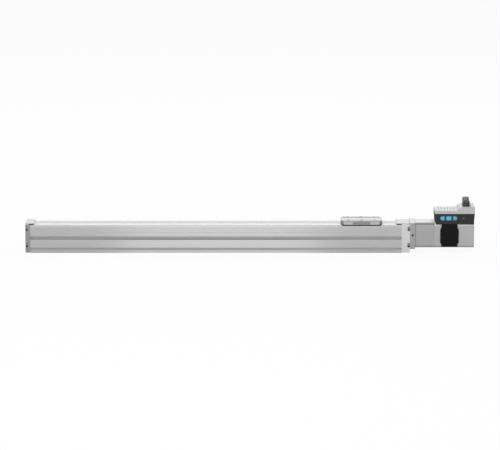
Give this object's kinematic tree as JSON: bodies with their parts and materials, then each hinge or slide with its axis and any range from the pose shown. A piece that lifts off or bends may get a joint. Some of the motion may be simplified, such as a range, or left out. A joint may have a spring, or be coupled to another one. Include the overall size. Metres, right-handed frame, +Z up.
{
  "type": "ball screw linear axis",
  "caption": "Slotted aluminium rail whose carriage is moved along it by a ball screw, with a square motor and a keyed controller on its end.",
  "frame": {"origin": "centre of the rail's underside, at mid length of the rail with its two end caps", "axes": "+X along the rail towards the motor, +Z up out of the carriage table, +Y to the rear, away from the keys"},
  "size_m": [0.7594, 0.0467, 0.0901],
  "materials": {
    "anodised_profile": "clear anodised, extruded",
    "anodised_table": "clear anodised, milled",
    "light_cap": "bead blasted, clear anodised",
    "grey_cap": "anodised grey",
    "strip_steel": "brushed spring steel",
    "motor_paint": "satin anodised grey",
    "bright_steel": "ground",
    "screw_steel": "dark zinc",
    "hub_aluminium": "turned",
    "spider_rubber": "moulded elastomer",
    "stop_rubber": "moulded",
    "black_plastic": "fine texture",
    "dark_housing": "fine texture",
    "light_cover": "fine powder coat",
    "label_white": "printed foil",
    "key_blue": "soft touch",
    "amber_lens": "clear moulded",
    "board_green": "solder mask",
    "socket_metal": "nickel plated",
    "iron_core": "laminated",
    "winding_copper": "enamelled wire"
  },
  "bodies": {
    "base": {"bearing_retainer": "bright_steel", "bumper_left": "stop_rubber", "bumper_right": "stop_rubber", "clamp_screws": "screw_steel", "connection_cover": "black_plastic", "controller_board": "board_green", "controller_cover": "light_cover", "controller_housing": "dark_housing", "controller_label": "label_white", "controller_screws": "screw_steel", "coupling_housing": "motor_paint", "cover_strip": "strip_steel", "end_cap_left": "grey_cap", "end_cap_right": "light_cap", "end_cap_screws_left": "screw_steel", "end_cap_screws_right": "screw_steel", "fixed_bearing_outer": "bright_steel", "flange_screws": "screw_steel", "floating_bearing_outer": "bright_steel", "guide_rail": "bright_steel", "guide_rail_screws": "screw_steel", "key_board": "board_green", "key_mat": "stop_rubber", "motor_bearings_outer": "bright_steel", "motor_body": "motor_paint", "motor_flange": "grey_cap", "motor_front_bell": "grey_cap", "motor_screws": "screw_steel", "motor_stator": "iron_core", "motor_windings": "winding_copper", "profile": "anodised_profile", "socket_inserts": "black_plastic", "socket_logic": "socket_metal", "socket_power": "socket_metal", "status_light": "amber_lens", "strip_clamp_left": "light_cap", "strip_clamp_right": "light_cap"},
    "carriage": {"carriage_table": "anodised_table", "carriage_yoke": "anodised_table", "table_screws": "screw_steel", "strip_guides": "black_plastic", "ball_nut": "bright_steel", "nut_screws": "screw_steel", "runner_block": "bright_steel", "runner_caps": "black_plastic", "runner_screws": "screw_steel"},
    "screw": {"ball_screw": "bright_steel", "screw_locknut": "bright_steel", "fixed_bearing_inner": "bright_steel", "floating_bearing_inner": "bright_steel", "coupling_hub_screw": "hub_aluminium", "coupling_spider": "spider_rubber", "coupling_hub_motor": "hub_aluminium", "motor_shaft": "bright_steel", "motor_rotor": "iron_core", "motor_bearings_inner": "bright_steel", "encoder_magnet": "iron_core"},
    "key_left_cap": {"key_left": "key_blue"},
    "key_middle_cap": {"key_middle": "key_blue"},
    "key_right_cap": {"key_right": "key_blue"}
  },
  "joints": [
    {"name": "carriage_slide", "type": "slide", "parent": "base", "child": "carriage", "axis": [-1, 0, 0], "range_m": [0, 0.5]},
    {"name": "screw_spin", "type": "hinge", "parent": "base", "child": "screw", "pos_m": [0, 0, 0.03], "axis": [1, 0, 0], "range_deg": [-1, 18001]},
    {"name": "key_left_press", "type": "slide", "parent": "base", "child": "key_left_cap", "axis": [0, 1, 0], "range_m": [0, 0.0006], "stiffness_N_per_m": 400, "springref_m": -0.0006},
    {"name": "key_middle_press", "type": "slide", "parent": "base", "child": "key_middle_cap", "axis": [0, 1, 0], "range_m": [0, 0.0006], "stiffness_N_per_m": 400, "springref_m": -0.0006},
    {"name": "key_right_press", "type": "slide", "parent": "base", "child": "key_right_cap", "axis": [0, 1, 0], "range_m": [0, 0.0006], "stiffness_N_per_m": 400, "springref_m": -0.0006}
  ],
  "couplings": [
    {"joint": "screw_spin", "follows": "carriage_slide", "rad_per_m": 628.32}
  ]
}
